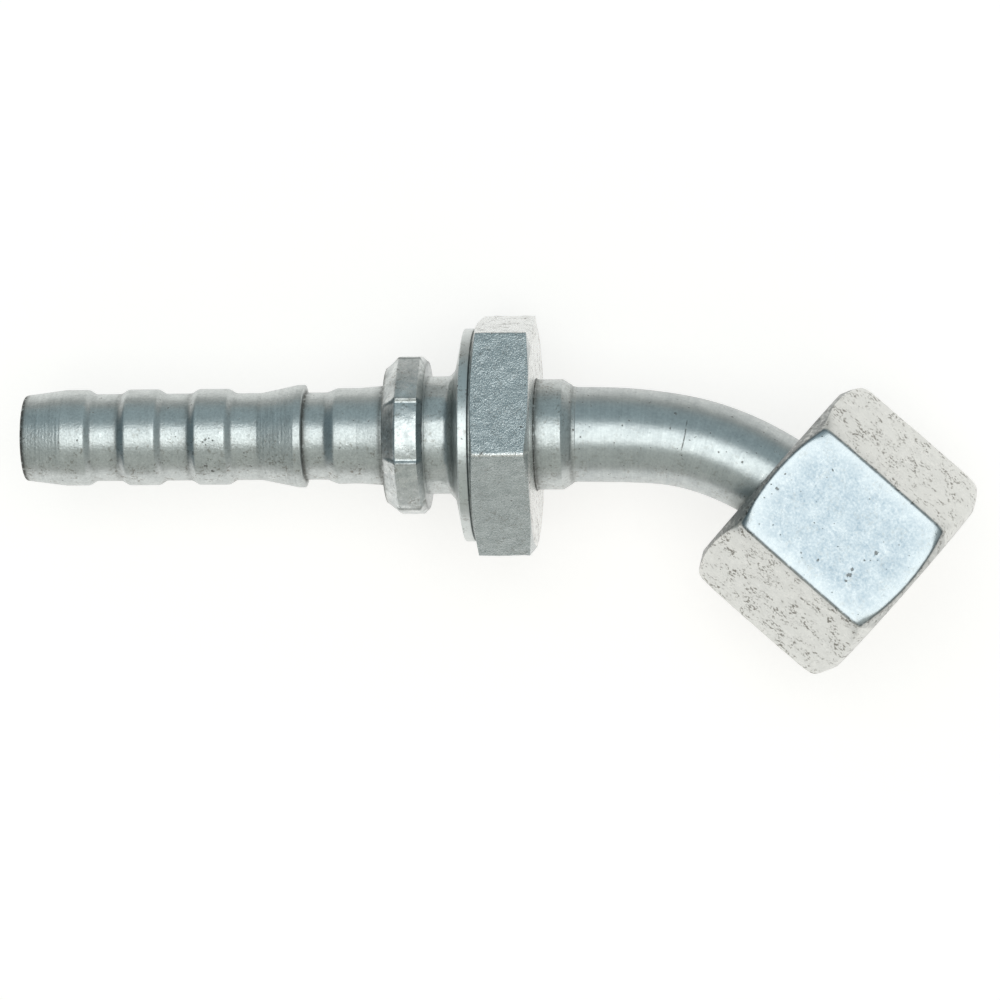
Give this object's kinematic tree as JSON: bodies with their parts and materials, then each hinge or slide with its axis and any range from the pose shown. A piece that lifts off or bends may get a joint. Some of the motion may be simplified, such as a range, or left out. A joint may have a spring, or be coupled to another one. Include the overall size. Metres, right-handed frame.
{
  "type": "hydraulic hose fitting",
  "caption": "Bent steel fitting for a crimped hydraulic hose: barbed tail, locking collar, wrench hexagon, bent tube and a swivel nut round a sealing cone.",
  "frame": {"origin": "middle of the bore's mouth at the tip of the hose tail", "axes": "+X along the straight hose tail from its tip towards the hexagon, -Y the side the tube bends to, +Z square to the plane of the bend"},
  "size_m": [0.1281, 0.0487, 0.0344],
  "materials": {
    "zinc_insert": "zinc plated, satin, turned on a lathe, hexagon as rolled",
    "zinc_tube": "zinc plated, smooth satin",
    "zinc_head": "zinc plated, fine turned",
    "zinc_nut": "zinc plated over a drawn bar, mottled",
    "braze": "brazing metal under zinc plating",
    "seal_rubber": "black nitrile rubber, slightly glossy"
  },
  "bodies": {
    "fitting": {"hose_insert": "zinc_insert", "hub_braze": "braze", "elbow_tube": "zinc_tube", "head_braze": "braze", "cone_head": "zinc_head", "o_ring": "seal_rubber"},
    "nut": {"swivel_nut": "zinc_nut"}
  },
  "joints": [
    {"name": "nut_spin", "type": "hinge", "parent": "fitting", "child": "nut", "pos_m": [0.10546, -0.00982, 0], "axis": [0.749, -0.6626, 0], "continuous": true}
  ]
}
